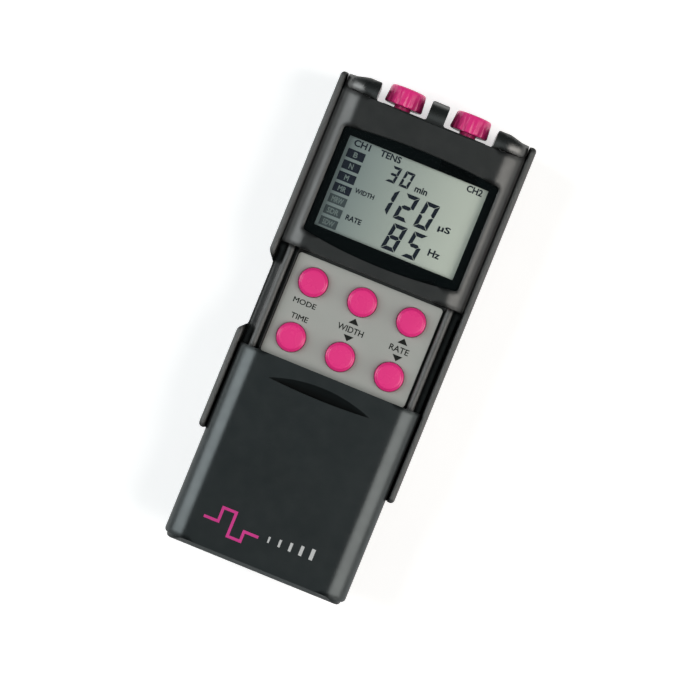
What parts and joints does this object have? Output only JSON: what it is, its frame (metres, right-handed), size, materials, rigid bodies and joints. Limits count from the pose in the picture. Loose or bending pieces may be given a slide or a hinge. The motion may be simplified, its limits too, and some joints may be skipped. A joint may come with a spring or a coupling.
{
  "type": "tens unit",
  "caption": "Handheld nerve stimulator with a display, round push buttons, intensity knobs, output sockets, a sliding battery cover and a belt clip.",
  "frame": {"origin": "centre of the housing's rear face", "axes": "+X across the front to the right, +Y along the body towards the knobs, +Z out of the front; the unit lies on its back"},
  "size_m": [0.0606, 0.1452, 0.0306],
  "materials": {
    "shell": "satin moulded",
    "rear_shell": "satin moulded",
    "cap": "satin moulded",
    "cover": "satin moulded",
    "clear": "polished acrylic",
    "black": "printed gloss",
    "display": "liquid crystal display",
    "natural": "moulded",
    "silicone": "silicone",
    "panel": "satin moulded",
    "pink": "satin moulded",
    "black_plastic": "moulded",
    "steel": "nickel plated",
    "board": "solder mask",
    "pot_blue": "moulded",
    "ferrite": "laminated",
    "copper": "enamelled wire",
    "capacitor": "sleeve",
    "battery": "painted can",
    "lead_red": "insulation",
    "lead_black": "insulation",
    "foam": "closed-cell foam",
    "label": "printed film"
  },
  "bodies": {
    "housing": {"front_housing": "shell", "rear_housing": "rear_shell", "top_cap": "cap", "lcd_window": "clear", "lcd_mask": "black", "lcd_glass": "display", "lcd_frame": "natural", "contact_strips": "silicone", "button_panel": "panel", "key_switches": "black_plastic", "switch_domes": "steel", "main_board": "board", "board_screws": "steel", "housing_screws": "steel", "potentiometer_ch1": "pot_blue", "potentiometer_ch2": "pot_blue", "output_socket_ch1": "black_plastic", "output_socket_ch2": "black_plastic", "transformer_cores": "ferrite", "transformer_coils": "copper", "microcontroller": "black_plastic", "capacitors": "capacitor", "crystal": "steel", "buzzer": "black_plastic", "battery_case": "battery", "battery_terminals": "steel", "contact_plate": "black_plastic", "contact_snaps": "steel", "battery_lead_red": "lead_red", "battery_lead_black": "lead_black", "battery_foam": "foam", "clip_base": "black_plastic", "clip_pin": "steel", "clip_spring": "steel", "clip_screws": "steel", "rating_label": "label"},
    "cover": {"sliding_cover": "cover"},
    "clip": {"belt_clip": "black_plastic"},
    "knob_1": {"knob_ch1": "pink", "knob_shaft_ch1": "steel"},
    "knob_2": {"knob_ch2": "pink", "knob_shaft_ch2": "steel"},
    "mode_key": {"mode_button": "pink", "mode_plunger": "black_plastic"},
    "time_key": {"time_button": "pink", "time_plunger": "black_plastic"},
    "width_up_key": {"width_up_button": "pink", "width_up_plunger": "black_plastic"},
    "width_down_key": {"width_down_button": "pink", "width_down_plunger": "black_plastic"},
    "rate_up_key": {"rate_up_button": "pink", "rate_up_plunger": "black_plastic"},
    "rate_down_key": {"rate_down_button": "pink", "rate_down_plunger": "black_plastic"}
  },
  "joints": [
    {"name": "cover_slide", "type": "slide", "parent": "housing", "child": "cover", "axis": [0, 1, 0], "range_m": [-0.0275, 0.0312]},
    {"name": "clip_hinge", "type": "hinge", "parent": "housing", "child": "clip", "pos_m": [0, 0.018, -0.0032], "axis": [1, 0, 0], "range_deg": [0, 14], "stiffness_Nm_per_rad": 0.15, "springref_deg": -51.57, "deforming": ["clip_spring"]},
    {"name": "knob_ch1_turn", "type": "hinge", "parent": "housing", "child": "knob_1", "pos_m": [-0.01015, 0.0545, 0.0152], "axis": [0, 1, 0], "range_deg": [0, 300]},
    {"name": "knob_ch2_turn", "type": "hinge", "parent": "housing", "child": "knob_2", "pos_m": [0.01015, 0.0545, 0.0152], "axis": [0, 1, 0], "range_deg": [0, 300]},
    {"name": "mode_press", "type": "slide", "parent": "housing", "child": "mode_key", "axis": [0, 0, -1], "range_m": [0, 0.0008], "stiffness_N_per_m": 1200, "springref_m": -0.0008},
    {"name": "time_press", "type": "slide", "parent": "housing", "child": "time_key", "axis": [0, 0, -1], "range_m": [0, 0.0008], "stiffness_N_per_m": 1200, "springref_m": -0.0008},
    {"name": "width_up_press", "type": "slide", "parent": "housing", "child": "width_up_key", "axis": [0, 0, -1], "range_m": [0, 0.0008], "stiffness_N_per_m": 1200, "springref_m": -0.0008},
    {"name": "width_down_press", "type": "slide", "parent": "housing", "child": "width_down_key", "axis": [0, 0, -1], "range_m": [0, 0.0008], "stiffness_N_per_m": 1200, "springref_m": -0.0008},
    {"name": "rate_up_press", "type": "slide", "parent": "housing", "child": "rate_up_key", "axis": [0, 0, -1], "range_m": [0, 0.0008], "stiffness_N_per_m": 1200, "springref_m": -0.0008},
    {"name": "rate_down_press", "type": "slide", "parent": "housing", "child": "rate_down_key", "axis": [0, 0, -1], "range_m": [0, 0.0008], "stiffness_N_per_m": 1200, "springref_m": -0.0008}
  ]
}
